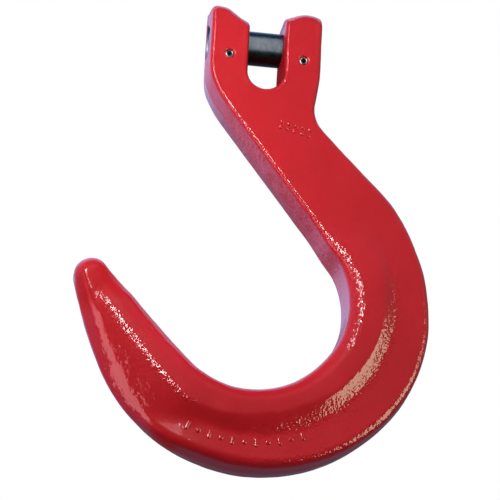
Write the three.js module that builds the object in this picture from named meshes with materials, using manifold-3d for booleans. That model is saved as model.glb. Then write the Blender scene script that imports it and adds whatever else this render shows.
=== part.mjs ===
// Clevis foundry hook: a drop-forged hook body with a wide round bowl, a cross load
// pin between the two ears of its clevis, and one slotted spring pin in each ear that
// keeps the load pin in. Millimetres, +Z up.
// X runs along the load pin (the hook's tip is at -X), Y through the forging's
// thickness. X = 0 is the load line; the origin lies on it, at the height of the
// bowl's lowest point and in the forging's middle plane.
// All heights below, except PIN_HEIGHT, are measured from the load pin axis.
import * as THREE from "three";
import { mergeVertices } from "three/addons/utils/BufferGeometryUtils.js";
import Module from "manifold-3d";

const wasm = await Module();
wasm.setup();

const { clamp, degToRad } = THREE.MathUtils;

// ---------------------------------------------------------------- dimensions
const PIN_HEIGHT = 203.2; // load pin axis above the bowl's lowest point

const HEAD_LEFT = -26.0; // clevis head, along X
const HEAD_RIGHT = 25.4;
const SHANK = 14.0; // half thickness of the clevis head and shank, along Y
const BAND = 17.5; // half thickness of the bowl's inner band
const WEB = 13.4; // half thickness of the bowl's outer web

const DRAFT = 1.3; // how far the sides of the head and shank stand out at mid-plane
const DRAFT_END_Z = -100; // inner edge height where the draft has died away
const DRAFT_FADE = 40; // height over which it dies away

const SLOT_HALF_WIDTH = 8.6; // chain slot between the ears
const SLOT_BOTTOM_Z = -24.7; // lowest point of its half-round bottom
const SLOT_TOP_Z = 30; // clear above the ears
const SLOT_ARC_SEGMENTS = 14;

const PIN_RADIUS = 8.0; // load pin
const PIN_HALF_LENGTH = 25.8;
const PIN_CHAMFER = 1.1;
const PIN_BORE_RADIUS = PIN_RADIUS + 0.3;
const PIN_SEGMENTS = 40;

const ROLL_X = 17.35; // spring pin axis, from the load line
const ROLL_Z = -9.0;
const ROLL_RADIUS = 2.0;
const ROLL_WALL = 0.75;
const ROLL_SLIT = 0.8;
const ROLL_HALF_LENGTH = SHANK - 0.6; // each end lies just below the forging's face
const ROLL_ARC_SEGMENTS = 20;
const ROLL_BORE_RADIUS = ROLL_RADIUS + 0.15;
const ROLL_BORE_SEGMENTS = 24;
const GROOVE_RADIUS = 2.25; // groove round the load pin that each spring pin lies in
const GROOVE_STEPS = [-1, -0.66, -0.33, 0, 0.33, 0.66, 1]; // shares of its half width

const CUT_X = 80; // length of a cutter that goes right through along X
const CUT_Y = 50; // and along Y

// Rounded tip of the hook.
const TIP_CENTRE_X = -73;
const TIP_CENTRE_Z = -118.5;
const TIP_RADIUS = 8.0;
const TIP_ANGLE = 122.5; // the way the tip points, degrees from +X towards +Z
const TIP_CHORDS = [80, 66, 52, 39, 27, 16, 7]; // half angles of its chords, degrees
const TIP_BAND = 9.2; // half thickness of the band at the first chord
const TIP_WEB = 7.2; // half thickness of the web there
const TIP_OVERRUN = 0.25; // how far past the circle the dome would thin to nothing

// Tops of the ears from the slot outwards: distance from the load line, height.
// Each has a shoulder, a slope and a flat top with a rounded outer corner.
const LEFT_EAR = [
  [SLOT_HALF_WIDTH, 6.0], [9.3, 7.9], [11.0, 9.1], [13.5, 10.5],
  [16.0, 12.3], [18.6, 14.1], [21.0, 14.7], [23.4, 14.5],
  [25.2, 13.4], [26.4, 11.4], [27.4, 9.0],
];
const RIGHT_EAR = [
  [SLOT_HALF_WIDTH, 10.4], [9.3, 11.6], [11.4, 12.6], [13.8, 13.7],
  [15.8, 14.4], [18.0, 14.8], [20.8, 14.6], [23.4, 13.7],
  [25.2, 12.3], [26.2, 10.6], [26.9, 8.4],
];
// What is cut away above the ears reaches clear of the head.
const EAR_CUT_HALF_WIDTH = 31;
const EAR_CUT_SIDE_Z = 7.0;
const EAR_CUT_TOP_Z = 25;

// Forging sections from the clevis head down the shank, round the bowl and up to the
// tip. Columns: inner edge x, z; outer edge x, z; half thickness of the inner band;
// half thickness of the outer web; distance of the step between them from the inner
// edge; width of the step; inner edge rounding across, deep; outer edge rounding
// across, deep.
const SHANK_EDGES = [3, 3, 3, 3];
const HEAD_FORM = [SHANK, SHANK, 20, 6, ...SHANK_EDGES];
const SECTIONS = [
  [HEAD_LEFT, 16.5, HEAD_RIGHT, 16.5, ...HEAD_FORM],
  [HEAD_LEFT, 8.0, HEAD_RIGHT, 8.0, ...HEAD_FORM],
  [HEAD_LEFT, 0.0, HEAD_RIGHT, 0.0, ...HEAD_FORM],
  [HEAD_LEFT, -9.0, HEAD_RIGHT, -9.0, ...HEAD_FORM],
  [-25.8, -15.5, 25.3, -16.5, ...HEAD_FORM],
  [-24.5, -21.5, 24.7, -22.5, ...HEAD_FORM],
  [-21.5, -27.5, 23.8, -27.5, ...HEAD_FORM],
  [-18.2, -32.4, 23.5, -31.7, ...HEAD_FORM],
  [-13.5, -38.5, 23.9, -35.6, SHANK, SHANK, 19, 6, ...SHANK_EDGES],
  [-8.0, -45.3, 25.4, -39.3, SHANK, SHANK, 18, 6, ...SHANK_EDGES],
  [-1.5, -53.4, 28.6, -43.1, SHANK, SHANK, 17, 6, ...SHANK_EDGES],
  [5.5, -62.1, 33.8, -48.3, SHANK, SHANK, 16, 6, ...SHANK_EDGES],
  [12.5, -70.9, 40.8, -55.1, SHANK, SHANK, 16, 6, ...SHANK_EDGES],
  [19.8, -80.0, 48.5, -62.5, SHANK, SHANK, 16.5, 6, ...SHANK_EDGES],
  [27.0, -89.2, 56.5, -70.0, SHANK, SHANK, 17, 6, 3.4, 3.4, 3.2, 3.2],
  [33.2, -98.3, 63.4, -77.4, 14.6, 13.9, 17.6, 5.5, 4.2, 4.2, 3.6, 3.6],
  [39.0, -106.1, 71.6, -90.0, 16.0, 13.6, 18, 4.6, 5.2, 5.2, 4.2, 4.2],
  [42.6, -115.2, 78.1, -106.9, 17.1, WEB, 18, 4, 6, 6, 4.8, 4.8],
  [43.7, -125.0, 80.8, -125.0, BAND, WEB, 18, 4, 6, 6, 5.2, 5.2],
  [42.6, -134.1, 80.2, -142.0, BAND, WEB, 18, 4, 6, 6, 5.5, 5.5],
  [39.0, -143.3, 74.6, -159.8, BAND, WEB, 18, 4, 6, 6, 5.5, 5.5],
  [33.5, -151.2, 64.5, -175.4, BAND, WEB, 18, 4, 6, 6, 5.5, 5.5],
  [26.2, -158.5, 49.8, -188.7, BAND, WEB, 18, 4, 6, 6, 5.5, 5.5],
  [17.3, -163.8, 32.5, -198.0, BAND, WEB, 18, 4, 6, 6, 5.2, 5.2],
  [7.4, -166.9, 13.7, -202.6, BAND, WEB, 18, 4, 6, 6, 5, 5],
  [-3.0, -167.4, -5.4, -202.6, BAND, WEB, 18, 4, 6, 6, 5, 5],
  [-13.1, -165.2, -23.6, -197.8, 17.4, 13.3, 18, 4.2, 6.5, 6.5, 5, 5],
  [-22.2, -160.3, -40.3, -189.5, 17.0, 12.7, 17.8, 5.2, 7.6, 7.2, 5.5, 5.5],
  [-29.2, -153.8, -53.2, -178.6, 16.2, 10.8, 18.8, 9.6, 9.5, 8.4, 6.4, 6.4],
  [-38.3, -144.1, -63.0, -165.2, 14.9, 8.3, 19.6, 12, 11, 9, 7, 6],
  [-47.6, -134.1, -70.0, -150.3, 13.3, 7.4, 17.8, 10, 10, 8.6, 6.8, 5.6],
  [-56.8, -123.8, -75.4, -136.6, 11.5, 7.3, 15.6, 7.6, 9.5, 7.8, 6.4, 5.5],
  [-62.6, -117.6, -78.6, -128.6, 10.2, 7.3, 14, 6.4, 8.4, 7.0, 5.4, 5.2],
];
const SUBDIVIDE = 2; // steps from one row to the next
const ROUNDING_STEPS = [0, 0.3, 0.55, 0.78, 1]; // shares of a quarter turn
const MIN_WEB_FLAT = 0.6; // least flat between the step and the outer rounding

// ---------------------------------------------------------------- helpers
// A closed geometry as a solid: only position is kept, shared vertices are merged and
// collapsed triangles are dropped.
function solid(geometry) {
  geometry.deleteAttribute("normal");
  geometry.deleteAttribute("uv");
  const merged = mergeVertices(geometry, 1e-4);
  const index = merged.index.array;
  const kept = [];
  for (let i = 0; i < index.length; i += 3) {
    const [a, b, c] = index.slice(i, i + 3);
    if (a !== b && b !== c && c !== a) kept.push(a, b, c);
  }
  return new wasm.Manifold(
    new wasm.Mesh({
      numProp: 3,
      vertProperties: new Float32Array(merged.attributes.position.array),
      triVerts: new Uint32Array(kept),
    }),
  );
}

function geometryOf(body) {
  const { vertProperties, triVerts } = body.getMesh();
  const geometry = new THREE.BufferGeometry()
    .setAttribute("position", new THREE.BufferAttribute(new Float32Array(vertProperties), 3))
    .setIndex(new THREE.BufferAttribute(new Uint32Array(triVerts), 1));
  geometry.computeVertexNormals();
  return geometry;
}

// An outline in the X-Z plane, extruded along Y about the middle plane.
function extrudeY(shape, depth, curveSegments) {
  return new THREE.ExtrudeGeometry(shape, { depth, bevelEnabled: false, curveSegments })
    .rotateX(Math.PI / 2)
    .translate(0, depth / 2, 0);
}

const toVector = ([x, y]) => new THREE.Vector2(x, y);

function catmullRom(before, start, end, after, t) {
  const linear = end - before;
  const square = 2 * before - 5 * start + 4 * end - after;
  const cube = 3 * start - before - 3 * end + after;
  return 0.5 * (2 * start + linear * t + square * t * t + cube * t * t * t);
}

// ---------------------------------------------------------------- hook body
// The table with Catmull-Rom rows added, column by column.
function barRows() {
  const final = SECTIONS.length - 1;
  const rows = [];
  for (let i = 0; i < final; i++) {
    const before = SECTIONS[Math.max(i - 1, 0)];
    const start = SECTIONS[i];
    const end = SECTIONS[i + 1];
    const after = SECTIONS[Math.min(i + 2, final)];
    for (let k = 0; k < SUBDIVIDE; k++) {
      const t = k / SUBDIVIDE;
      rows.push(start.map((value, c) => catmullRom(before[c], value, end[c], after[c], t)));
    }
  }
  rows.push(SECTIONS[final]);
  return rows;
}

// The rounded tip: chords of the tip circle, thinning like a dome.
function tipRows() {
  const direction = degToRad(TIP_ANGLE);
  const firstCos = Math.cos(degToRad(TIP_CHORDS[0]));
  const reach = TIP_RADIUS * (1 - firstCos) + TIP_OVERRUN;
  const onCircle = (angle) => [
    TIP_CENTRE_X + TIP_RADIUS * Math.cos(angle),
    TIP_CENTRE_Z + TIP_RADIUS * Math.sin(angle),
  ];
  return TIP_CHORDS.map((degrees) => {
    const halfAngle = degToRad(degrees);
    const along = TIP_RADIUS * (Math.cos(halfAngle) - firstCos);
    const thinning = Math.sqrt(1 - (along / reach) ** 2);
    const width = 2 * TIP_RADIUS * Math.sin(halfAngle);
    const band = TIP_BAND * thinning;
    const web = TIP_WEB * thinning;
    return [
      ...onCircle(direction - halfAngle),
      ...onCircle(direction + halfAngle),
      band, web,
      0.66 * width, 0.28 * width, // step: distance, width
      0.44 * width, 0.7 * band, // inner rounding
      0.28 * width, 0.72 * web, // outer rounding
    ];
  });
}

// How much an edge rounding takes off the half thickness at a distance from the edge.
function roundingDrop(distance, across, deep) {
  if (distance >= across) return 0;
  return deep * (1 - Math.sqrt(1 - ((across - distance) / across) ** 2));
}

// One ring of points round a section: parting line at the inner edge, the -Y face,
// parting line at the outer edge, and the +Y face back again.
function sectionRing(row) {
  const [innerX, innerZ, outerX, outerZ, band, web, step, ramp, ...rounding] = row;
  const [innerAcross, innerDeep, outerAcross, outerDeep] = rounding;
  const width = Math.hypot(outerX - innerX, outerZ - innerZ);
  const rampStart = step - ramp / 2;
  const rampEnd = Math.min(step + ramp / 2, width - outerAcross - MIN_WEB_FLAT);

  const angles = ROUNDING_STEPS.map((share) => (share * Math.PI) / 2);
  const distances = [
    ...angles.map((angle) => innerAcross * (1 - Math.cos(angle))),
    (innerAcross + rampStart) / 2,
    rampStart,
    (rampStart + rampEnd) / 2,
    rampEnd,
    (rampEnd + width - outerAcross) / 2,
    ...angles.map((angle) => width - outerAcross * (1 - Math.cos(Math.PI / 2 - angle))),
  ];
  const halfThickness = (distance) =>
    band + (web - band) * clamp((distance - rampStart) / ramp, 0, 1) -
    roundingDrop(distance, innerAcross, innerDeep) -
    roundingDrop(width - distance, outerAcross, outerDeep);

  // A point at a share of the way from the inner to the outer edge.
  const point = (share, y) => [
    innerX + (outerX - innerX) * share,
    y,
    innerZ + (outerZ - innerZ) * share,
  ];
  const face = distances.map((d) => point(d / width, halfThickness(d)));
  // The sides lean out from both faces to the parting line at mid-plane.
  const lean = (DRAFT * clamp((innerZ - DRAFT_END_Z) / DRAFT_FADE, 0, 1)) / width;
  return [
    point(-lean, 0),
    ...face.map(([x, y, z]) => [x, -y, z]),
    point(1 + lean, 0),
    ...face.reverse(),
  ];
}

// The whole forging before cutting: a skin over the rings, closed at both ends.
function forgedBar() {
  const rings = [...barRows(), ...tipRows()].map(sectionRing);
  const count = rings[0].length;
  const last = (rings.length - 1) * count;
  const index = [];
  for (let start = 0; start < last; start += count)
    for (let k = 0; k < count; k++) {
      const a = start + k;
      const b = start + ((k + 1) % count);
      index.push(a, b + count, b, a, a + count, b + count);
    }
  // End caps: strips between the two faces; solid() drops the collapsed triangles.
  for (let k = 0; k < count / 2; k++) {
    const [a, b, c, d] = [k, k + 1, count - 1 - k, (count - k) % count];
    index.push(a, b, c, a, c, d);
    index.push(last + a, last + c, last + b, last + a, last + d, last + c);
  }
  return new THREE.BufferGeometry()
    .setAttribute("position", new THREE.Float32BufferAttribute(rings.flat(2), 3))
    .setIndex(index);
}

function chainSlot() {
  const half = SLOT_HALF_WIDTH;
  const arcZ = SLOT_BOTTOM_Z + half;
  const shape = new THREE.Shape();
  shape.moveTo(half, SLOT_TOP_Z);
  shape.lineTo(-half, SLOT_TOP_Z);
  shape.lineTo(-half, arcZ);
  shape.absarc(0, arcZ, half, Math.PI, 2 * Math.PI, false);
  shape.lineTo(half, SLOT_TOP_Z);
  return extrudeY(shape, CUT_Y, SLOT_ARC_SEGMENTS);
}

// All that lies above the two ears.
function aboveEars() {
  const outline = [
    [-EAR_CUT_HALF_WIDTH, EAR_CUT_TOP_Z],
    [-EAR_CUT_HALF_WIDTH, EAR_CUT_SIDE_Z],
    ...LEFT_EAR.map(([x, z]) => [-x, z]).reverse(),
    ...RIGHT_EAR,
    [EAR_CUT_HALF_WIDTH, EAR_CUT_SIDE_Z],
    [EAR_CUT_HALF_WIDTH, EAR_CUT_TOP_Z],
  ];
  return extrudeY(new THREE.Shape(outline.map(toVector)), CUT_Y);
}

function cylinder(radius, length, segments) {
  return new THREE.CylinderGeometry(radius, radius, length, segments);
}

function rollBore(side) {
  return cylinder(ROLL_BORE_RADIUS, CUT_Y, ROLL_BORE_SEGMENTS)
    .translate(side * ROLL_X, 0, ROLL_Z);
}

function hookBody() {
  const pinBore = cylinder(PIN_BORE_RADIUS, CUT_X, PIN_SEGMENTS).rotateZ(Math.PI / 2);
  const cutters = [chainSlot(), aboveEars(), pinBore, rollBore(-1), rollBore(1)];
  const body = cutters.reduce(
    (rest, cutter) => rest.subtract(solid(cutter)),
    solid(forgedBar()),
  );
  return geometryOf(body);
}

// ---------------------------------------------------------------- load pin
// A round bar with chamfered ends and a groove turned round it at each spring pin.
function loadPin() {
  const rollDistance = -ROLL_Z;
  const grooveHalf = Math.sqrt(GROOVE_RADIUS ** 2 - (rollDistance - PIN_RADIUS) ** 2);
  const groove = GROOVE_STEPS.map((share) => {
    const x = share * grooveHalf;
    const radius = rollDistance - Math.sqrt(GROOVE_RADIUS ** 2 - x * x);
    return [Math.min(PIN_RADIUS, radius), ROLL_X + x];
  });
  // Radius and x, from the groove to the end.
  const rightHalf = [
    ...groove,
    [PIN_RADIUS, PIN_HALF_LENGTH - PIN_CHAMFER],
    [PIN_RADIUS - PIN_CHAMFER, PIN_HALF_LENGTH],
    [0, PIN_HALF_LENGTH],
  ];
  const leftHalf = rightHalf.map(([radius, x]) => [radius, -x]).reverse();
  const profile = [...leftHalf, ...rightHalf].map(toVector);
  const bar = new THREE.LatheGeometry(profile, PIN_SEGMENTS).rotateZ(-Math.PI / 2);
  return geometryOf(solid(bar));
}

// ---------------------------------------------------------------- spring pins
// A slotted tube: the slit faces down, away from the load pin.
function rollPin() {
  const boreRadius = ROLL_RADIUS - ROLL_WALL;
  const outerGap = Math.asin(ROLL_SLIT / 2 / ROLL_RADIUS);
  const innerGap = Math.asin(ROLL_SLIT / 2 / boreRadius);
  const down = -Math.PI / 2;
  const around = down + 2 * Math.PI;
  const shape = new THREE.Shape();
  shape.absarc(0, 0, ROLL_RADIUS, down + outerGap, around - outerGap, false);
  shape.absarc(0, 0, boreRadius, around - innerGap, down + innerGap, true);
  shape.closePath();
  return geometryOf(solid(extrudeY(shape, 2 * ROLL_HALF_LENGTH, ROLL_ARC_SEGMENTS)));
}

// ---------------------------------------------------------------- materials
const redEnamel = new THREE.MeshStandardMaterial({
  color: 0xc4232e,
  roughness: 0.3,
  metalness: 0.0,
});
const darkSteel = new THREE.MeshStandardMaterial({
  color: 0x3a4044,
  roughness: 0.45,
  metalness: 0.9,
});
const springSteel = new THREE.MeshStandardMaterial({
  color: 0xa9adb2,
  roughness: 0.35,
  metalness: 1.0,
});

// ---------------------------------------------------------------- assembly
const pinFrame = new THREE.Group(); // its origin is on the load pin axis
pinFrame.position.z = PIN_HEIGHT;

function addMesh(name, geometry, material) {
  const mesh = new THREE.Mesh(geometry, material);
  mesh.name = name;
  pinFrame.add(mesh);
  return mesh;
}

addMesh("hook_body", hookBody(), redEnamel);
addMesh("load_pin", loadPin(), darkSteel);
addMesh("roll_pin_left", rollPin(), springSteel).position.set(-ROLL_X, 0, ROLL_Z);
addMesh("roll_pin_right", rollPin(), springSteel).position.set(ROLL_X, 0, ROLL_Z);

const group = new THREE.Group();
group.add(pinFrame);

export default group;
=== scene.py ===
import bpy
import bmesh
import math
import numpy as np
from mathutils import Matrix, Vector


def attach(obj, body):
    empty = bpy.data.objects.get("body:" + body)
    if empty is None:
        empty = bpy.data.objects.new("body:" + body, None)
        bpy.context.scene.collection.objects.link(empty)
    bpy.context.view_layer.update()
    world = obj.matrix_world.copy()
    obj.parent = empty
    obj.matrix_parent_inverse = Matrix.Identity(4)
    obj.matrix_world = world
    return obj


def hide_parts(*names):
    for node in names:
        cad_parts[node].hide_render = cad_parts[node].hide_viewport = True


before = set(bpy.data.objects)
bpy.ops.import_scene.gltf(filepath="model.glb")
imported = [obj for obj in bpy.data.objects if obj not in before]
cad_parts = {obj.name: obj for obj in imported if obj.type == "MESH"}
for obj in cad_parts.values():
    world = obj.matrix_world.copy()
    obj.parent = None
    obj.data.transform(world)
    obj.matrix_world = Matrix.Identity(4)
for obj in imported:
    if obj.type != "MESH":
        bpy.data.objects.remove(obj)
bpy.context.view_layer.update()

PIN_Z = 203.2  # load pin axis above the origin, mm; shapes below are drawn about it
RNG = np.random.default_rng(7)

# ------------------------------------------------------------------ hook body shape
# The forging sections, as in the CAD source: inner edge x, z; outer edge x, z; half
# thickness of the inner band and of the web; step place and width; roundings.
HL, HR, SH, BAND, WEB = -26.0, 25.4, 14.0, 17.5, 13.4
E = 1.7  # edge rounding of the clevis head and shank
SECTIONS = np.array(
    [
        [HL, 16.5, HR, 16.5, SH, SH, 20, 6, E, E, E, E],
        [HL, 8.0, HR, 8.0, SH, SH, 20, 6, E, E, E, E],
        [HL, 0.0, HR, 0.0, SH, SH, 20, 6, E, E, E, E],
        [HL, -9.0, HR, -9.0, SH, SH, 20, 6, E, E, E, E],
        [-25.8, -15.5, 25.3, -16.5, SH, SH, 20, 6, E, E, E, E],
        [-24.5, -21.5, 24.7, -22.5, SH, SH, 20, 6, E, E, E, E],
        [-21.5, -27.5, 23.8, -27.5, SH, SH, 20, 6, E, E, E, E],
        [-18.2, -32.4, 23.5, -31.7, SH, SH, 20, 6, E, E, E, E],
        [-13.5, -38.5, 23.9, -35.6, SH, SH, 19, 6, 1.9, 1.9, E, E],
        [-8.0, -45.3, 25.4, -39.3, SH, SH, 18, 6, 2.0, 2.0, 1.9, 1.9],
        [-1.5, -53.4, 28.6, -43.1, SH, SH, 17, 6, 2.1, 2.1, 2.1, 2.1],
        [5.5, -62.1, 33.8, -48.3, SH, SH, 16, 6, 2.2, 2.2, 2.3, 2.3],
        [12.5, -70.9, 40.8, -55.1, SH, SH, 16, 6, 2.4, 2.4, 2.6, 2.6],
        [19.8, -80.0, 48.5, -62.5, SH, SH, 16.5, 6, 2.7, 2.7, 3.0, 3.0],
        [27.0, -89.2, 56.5, -70.0, SH, SH, 17, 6, 3.2, 3.2, 3.4, 3.4],
        [33.2, -98.3, 63.4, -77.4, 14.6, 13.9, 17.6, 6, 4.0, 4.0, 3.9, 3.9],
        [39.0, -106.1, 71.6, -90.0, 16.0, 13.6, 18, 5.4, 5.0, 5.0, 4.6, 4.6],
        [42.6, -115.2, 78.1, -106.9, 17.1, WEB, 18, 5, 5.8, 5.8, 5.2, 5.2],
        [43.7, -125.0, 80.8, -125.0, BAND, WEB, 18, 4.8, 6.6, 6.6, 6.0, 5.6],
        [42.6, -134.1, 80.2, -142.0, BAND, WEB, 18, 4.8, 7.2, 6.8, 6.0, 5.8],
        [39.0, -143.3, 74.6, -159.8, BAND, WEB, 18, 4.8, 7.2, 6.8, 6.2, 6.0],
        [33.5, -151.2, 64.5, -175.4, BAND, WEB, 18, 4.8, 7.2, 6.8, 6.2, 6.0],
        [26.2, -158.5, 49.8, -188.7, BAND, WEB, 18, 4.8, 7.2, 6.8, 6.2, 6.0],
        [17.3, -163.8, 32.5, -198.0, BAND, WEB, 18, 4.8, 7.2, 6.8, 6.0, 5.8],
        [7.4, -166.9, 13.7, -202.6, BAND, WEB, 18, 5.0, 7.0, 6.6, 6.2, 6.2],
        [-3.0, -167.4, -5.4, -202.6, BAND, WEB, 18, 5.0, 7.0, 6.6, 6.2, 6.2],
        [-13.1, -165.2, -23.6, -197.8, 17.4, 13.3, 18, 5.2, 6.5, 6.5, 6, 6],
        [-22.2, -160.3, -40.3, -189.5, 17.0, 12.7, 17.8, 6, 7.6, 7.2, 6.2, 6.2],
        [-29.2, -153.8, -53.2, -178.6, 16.2, 10.8, 18.8, 9.6, 9.5, 8.4, 7.4, 6.6],
        [-38.3, -144.1, -63.0, -165.2, 14.9, 8.3, 19.6, 12, 11, 9, 7.4, 6.0],
        [-47.6, -134.1, -70.0, -150.3, 13.3, 7.4, 17.8, 10, 10.5, 8.6, 7.0, 5.6],
        [-56.8, -123.8, -75.4, -136.6, 11.5, 7.3, 15.6, 7.6, 9.5, 7.8, 6.6, 5.6],
        [-62.6, -117.6, -78.6, -128.6, 10.2, 7.6, 14, 7, 8.4, 7.0, 6.2, 5.5],
    ]
)
TIP_C, TIP_R, TIP_A = np.array([-73.0, -118.5]), 8.0, math.radians(122.5)
SLOT, SLOT_Z = 8.6, -24.7
LEFT_EAR = [
    [8.6, 6.0], [9.3, 7.9], [11.0, 9.1], [13.5, 10.5], [16.0, 12.3], [18.6, 14.1],
    [21.0, 14.8], [23.4, 14.9], [25.0, 14.2], [25.9, 12.7], [26.0, 10.4],
]  # fmt: skip
RIGHT_EAR = [
    [8.6, 10.4], [9.3, 11.6], [11.4, 12.6], [13.8, 13.7], [15.8, 14.4],
    [18.0, 14.8], [20.8, 14.6], [23.2, 13.8], [24.6, 12.4], [25.2, 10.6], [25.4, 8.6],
]  # fmt: skip
ROLL_X, ROLL_Z, ROLL_R = 17.35, -9.0, 2.0
PIN_R, PIN_L = 8.0, 25.8
SLOT_DRAFT = 1.5  # how far the slot's walls stand into it at the parting line
DRAFT = 1.3  # how far the sides of head and shank stand out at the parting line
BORE_R, ROLL_BORE_R = 8.3, 2.12


def catmull(P, sub):
    P = np.asarray(P, float)
    n = len(P)
    out = []
    t = (np.arange(sub) / sub)[:, None]
    for i in range(n - 1):
        p0, p1, p2, p3 = P[max(i - 1, 0)], P[i], P[i + 1], P[min(i + 2, n - 1)]
        out.append(
            0.5
            * (
                2 * p1
                + (p2 - p0) * t
                + (2 * p0 - 5 * p1 + 4 * p2 - p3) * t**2
                + (3 * p1 - p0 - 3 * p2 + p3) * t**3
            )
        )
    out.append(P[-1:])
    return np.vstack(out)


def tip_rows(n=14):
    rows = []
    b0 = math.radians(80)
    for k in range(n + 1):
        b = b0 * (1 - k / n) + math.radians(1.0) * (k / n)
        along = TIP_R * (math.cos(b) - math.cos(b0)) / (TIP_R * (1 - math.cos(b0)))
        hi = 9.6 - 1.3 * along**2
        rows.append(
            [
                TIP_C[0] + TIP_R * math.cos(TIP_A - b),
                TIP_C[1] + TIP_R * math.sin(TIP_A - b),
                TIP_C[0] + TIP_R * math.cos(TIP_A + b),
                TIP_C[1] + TIP_R * math.sin(TIP_A + b),
                hi,
                hi - 1.6,
                10.0,
                6.5,
                5.6,
                5.6,
                4.8,
                5.2,
            ]
        )
    return np.array(rows)


ROWS = np.vstack([catmull(SECTIONS, 10)[:-1], SECTIONS[-1:], tip_rows()])
N_BODY = (len(SECTIONS) - 1) * 10 + 1


def outline():
    """The hook's outline in X-Z, mm about the load pin, once round."""
    ear = lambda e: catmull(e, 6)
    left = ear(LEFT_EAR) * [-1, 1]
    right = ear(RIGHT_EAR)
    zc = SLOT_Z + SLOT
    a = np.linspace(math.pi, 2 * math.pi, 40)
    arc = np.stack([SLOT * np.cos(a), zc + SLOT * np.sin(a)], -1)
    inner = ROWS[:, 0:2]
    outer = ROWS[:, 2:4]
    inner = inner[inner[:, 1] < 8.0]
    outer = outer[outer[:, 1] < 8.0]
    return np.vstack([left[::-1], arc, right, outer, inner[::-1]])


def polygon_distance(poly, X, Z):
    """Signed distance to the polygon, negative inside, on a grid given by its axes."""
    a, b = poly, np.roll(poly, -1, 0)
    keep = np.linalg.norm(b - a, axis=1) > 1e-6
    a, b = a[keep], b[keep]
    d = np.empty((len(X), len(Z)))
    s = np.zeros((len(X), len(Z)), bool)
    e = b - a
    L = (e**2).sum(1)
    T = 24
    for i in range(0, len(X), T):
        for k in range(0, len(Z), T):
            x, z = X[i : i + T], Z[k : k + T]
            c = np.array([(x[0] + x[-1]) / 2, (z[0] + z[-1]) / 2])
            rad = math.hypot(x[-1] - x[0], z[-1] - z[0]) / 2
            t = np.clip(((c - a) * e).sum(1) / L, 0, 1)
            dc = np.linalg.norm(a + e * t[:, None] - c, axis=1)
            near = dc <= dc.min() + 2 * rad + 1e-6
            p = np.stack(np.meshgrid(x, z, indexing="ij"), -1)[:, :, None]
            aa, ee, LL = a[near], e[near], L[near]
            t = np.clip(((p - aa) * ee).sum(-1) / LL, 0, 1)
            d[i : i + T, k : k + T] = np.linalg.norm(
                p - aa - ee * t[..., None], axis=-1
            ).min(-1)
    for (x0, z0), (x1, z1) in zip(a, b):  # crossings, one edge at a time
        if z0 == z1:
            continue
        k = (Z > min(z0, z1)) & (Z <= max(z0, z1))
        if not k.any():
            continue
        xc = x0 + (Z[k] - z0) * (x1 - x0) / (z1 - z0)
        s[:, k] ^= X[:, None] < xc[None]
    return np.where(s, -d, d)


def smooth01(t):
    t = np.clip(t, 0, 1)
    return t * t * (3 - 2 * t)


def section_place(P):
    """For points P (n, 2): place along the rows, share across, width there."""
    n = len(ROWS)
    idx = np.arange(n, dtype=float)
    # first guess: the nearest of a cloud of points inside the sections
    share = np.linspace(0, 1, 9)
    cloud = (
        ROWS[:, None, 0:2] * (1 - share)[None, :, None]
        + ROWS[:, None, 2:4] * share[None, :, None]
    ).reshape(-1, 2)
    at = np.repeat(idx, 9)
    t = np.empty(len(P))
    for i in range(0, len(P), 4000):
        q = P[i : i + 4000]
        d = ((q[:, None] - cloud[None]) ** 2).sum(-1)
        t[i : i + 4000] = at[d.argmin(1)]

    def ends(t):
        t = np.clip(t, 0, n - 1.001)
        k = t.astype(int)
        f = (t - k)[:, None]
        r = ROWS[k, :4] * (1 - f) + ROWS[k + 1, :4] * f
        return r[:, :2], r[:, 2:]

    def side(t):
        a, b = ends(t)
        c, q = b - a, P - a
        return (c[:, 0] * q[:, 1] - c[:, 1] * q[:, 0]) / (np.hypot(*c.T) + 1e-6)

    for _ in range(8):
        g = side(t)
        slope = (side(t + 0.5) - side(t - 0.5)) + 1e-9
        t = np.clip(t - np.clip(g / slope, -4, 4), 0, n - 1.001)
    a, b = ends(t)
    c = b - a
    w = np.hypot(*c.T)
    share = ((P - a) * c).sum(1) / (w**2 + 1e-9)
    return t, share, w


def soft_ramp(t, s=0.16):
    """0 to 1 along t from 0 to 1, with its two corners rounded."""
    soft = lambda v: 0.5 * (v + np.sqrt(v * v + s * s))
    return soft(t) - soft(t - 1)


# raised marks in a plain repeated pattern, neither letters nor figures: (place x, z;
# half length; half width; turn in degrees; height) of rounded bars and pips
def mark_list():
    out = []
    for k in range(11):  # round the web: bar, pip, bar, pip
        a0 = -113.5 + 4.5 * k
        a = math.radians(a0)
        half, wid = ((1.2, 0.95), (0.0, 1.25))[k % 2]
        x, z = 67.2 * math.cos(a), -125 + 67.2 * math.sin(a)
        out.append((x, z, half, wid, a0, 0.56))
    for k in range(5):  # two short rows of pips on the shank
        for row in (0, 1):
            x, z = 8.6 + 3.3 * k - 0.6 * row, -40.3 - 0.75 * k - 2.7 * row
            out.append((x, z, 0.0, 1.15, 0, 0.75))
    return out


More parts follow.
